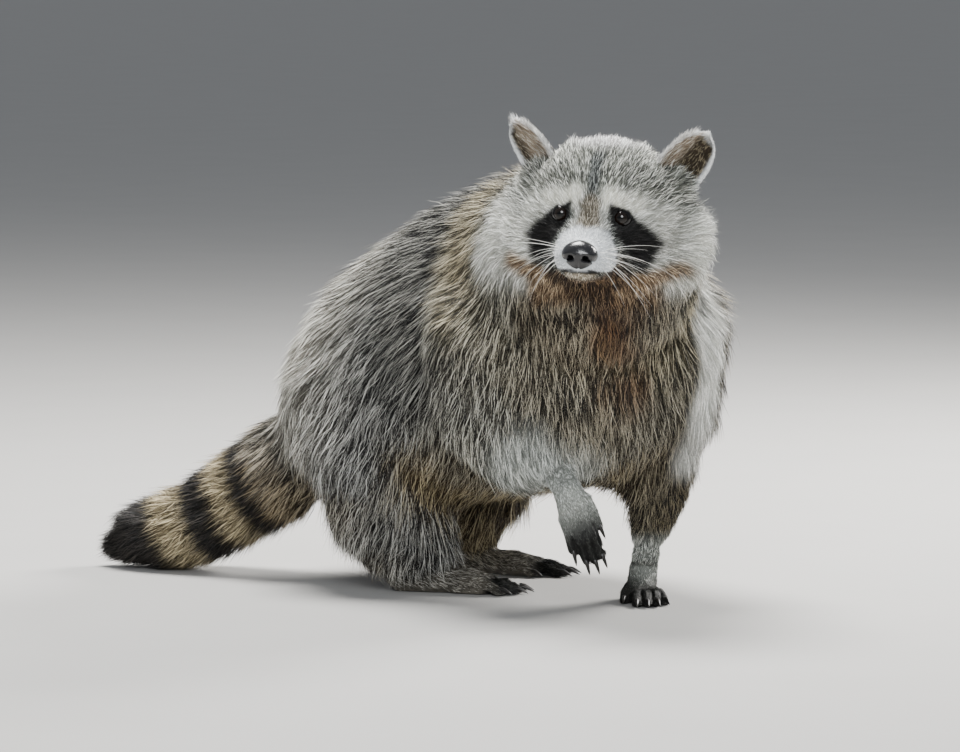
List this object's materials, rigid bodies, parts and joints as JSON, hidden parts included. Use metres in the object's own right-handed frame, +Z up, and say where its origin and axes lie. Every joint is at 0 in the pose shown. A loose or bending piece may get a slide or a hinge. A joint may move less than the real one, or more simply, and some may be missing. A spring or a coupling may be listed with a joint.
{
  "type": "raccoon",
  "caption": "Life-size standing raccoon with a bent back, head turned to its right, right forepaw lifted and ringed tail laid on the floor; rests on its flat soles",
  "frame": {"origin": "centre of the bounding box's underside, on the floor", "axes": "+Z up; the body faces -Y, with the head turned towards its right; +X is the raccoon's own left; Y is the longest extent, from nose to tail tip"},
  "size_m": [0.2752, 0.5454, 0.3425],
  "materials": {
    "body_fur": "grizzled grey-brown fur with pale tips",
    "face_fur": "short pale fur with a dark mask",
    "tail_fur": "thick fur ringed in tan and dark brown",
    "paw_skin": "dark bare skin with short pale hair on the back of the paw",
    "nose_leather": "wet black nose pad",
    "eye": "wet dark brown eye",
    "claw": "dark horn"
  },
  "bodies": {
    "root": {"claw_forepaw_left_1": "claw", "claw_forepaw_left_2": "claw", "claw_forepaw_left_3": "claw", "claw_forepaw_left_4": "claw", "claw_forepaw_left_5": "claw", "claw_forepaw_right_1": "claw", "claw_forepaw_right_2": "claw", "claw_forepaw_right_3": "claw", "claw_forepaw_right_4": "claw", "claw_forepaw_right_5": "claw", "claw_hindfoot_left_1": "claw", "claw_hindfoot_left_2": "claw", "claw_hindfoot_left_3": "claw", "claw_hindfoot_left_4": "claw", "claw_hindfoot_left_5": "claw", "claw_hindfoot_right_1": "claw", "claw_hindfoot_right_2": "claw", "claw_hindfoot_right_3": "claw", "claw_hindfoot_right_4": "claw", "claw_hindfoot_right_5": "claw", "ear_left": "face_fur", "ear_right": "face_fur", "eye_left": "eye", "eye_right": "eye", "forearm_left": "body_fur", "forearm_right": "body_fur", "forepaw_left": "paw_skin", "forepaw_right": "paw_skin", "head": "face_fur", "hindfoot_left": "paw_skin", "hindfoot_right": "paw_skin", "neck": "body_fur", "nose": "nose_leather", "shank_left": "body_fur", "shank_right": "body_fur", "tail_base": "tail_fur", "tail_middle": "tail_fur", "tail_tip": "tail_fur", "thigh_left": "body_fur", "thigh_right": "body_fur", "trunk": "body_fur", "upper_arm_left": "body_fur", "upper_arm_right": "body_fur"}
  },
  "joints": []
}
